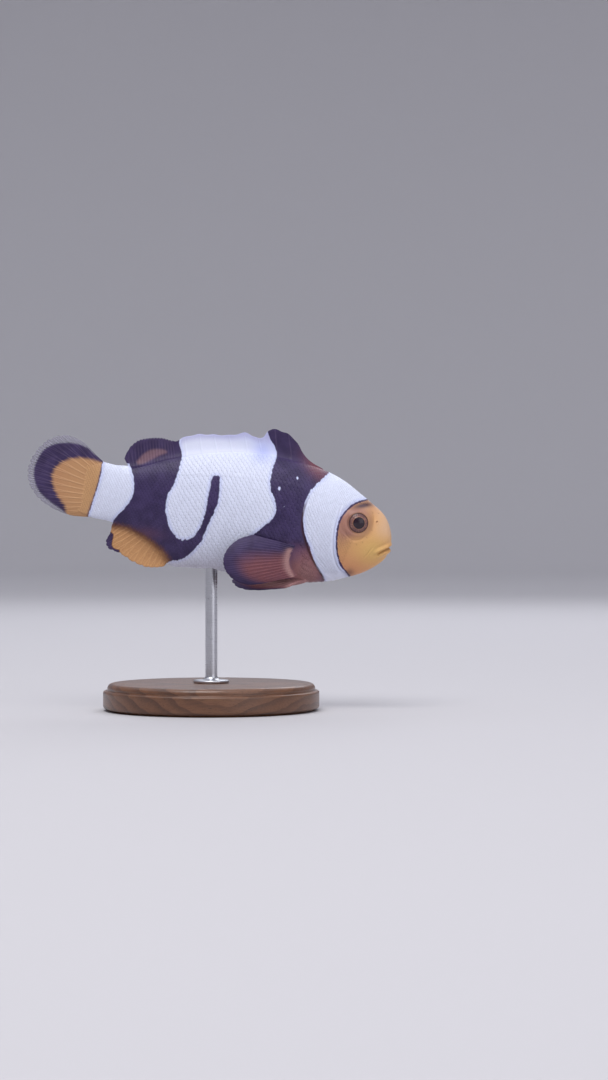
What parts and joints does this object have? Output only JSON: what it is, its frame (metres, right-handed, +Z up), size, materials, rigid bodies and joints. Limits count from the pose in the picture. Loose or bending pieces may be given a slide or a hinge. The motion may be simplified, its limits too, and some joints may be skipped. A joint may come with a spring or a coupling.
{
  "type": "clownfish model",
  "caption": "Life-size clownfish, black, white and orange, swimming slightly nose-down, held by a slim rod on a round display base.",
  "frame": {"origin": "centre of the underside of the stand's round base, on the surface it stands on", "axes": "+X the way the fish swims (nose), +Y the fish's left side, +Z up; the fish is pitched about 10 degrees nose-down in this frame"},
  "size_m": [0.0609, 0.036, 0.0468],
  "materials": {
    "skin_orange": "satin, finely scaled",
    "skin_white": "satin, finely scaled",
    "skin_black": "satin, finely scaled",
    "skin_brown": "satin, rayed membrane",
    "eye": "clear, high gloss",
    "stand_wood": "satin varnished walnut",
    "stand_steel": "fine brushed"
  },
  "bodies": {
    "root": {"head": "skin_orange", "lower_jaw": "skin_orange", "gill_cover_left": "skin_white", "gill_cover_right": "skin_white", "trunk": "skin_white", "tail_peduncle": "skin_white", "dorsal_fin_spiny": "skin_black", "dorsal_fin_soft": "skin_black", "anal_fin": "skin_orange", "caudal_fin": "skin_orange", "pectoral_fin_left": "skin_brown", "pectoral_fin_right": "skin_brown", "pelvic_fin_left": "skin_brown", "pelvic_fin_right": "skin_brown", "eye_left": "eye", "eye_right": "eye", "stand_base": "stand_wood", "stand_rod": "stand_steel"}
  },
  "joints": []
}
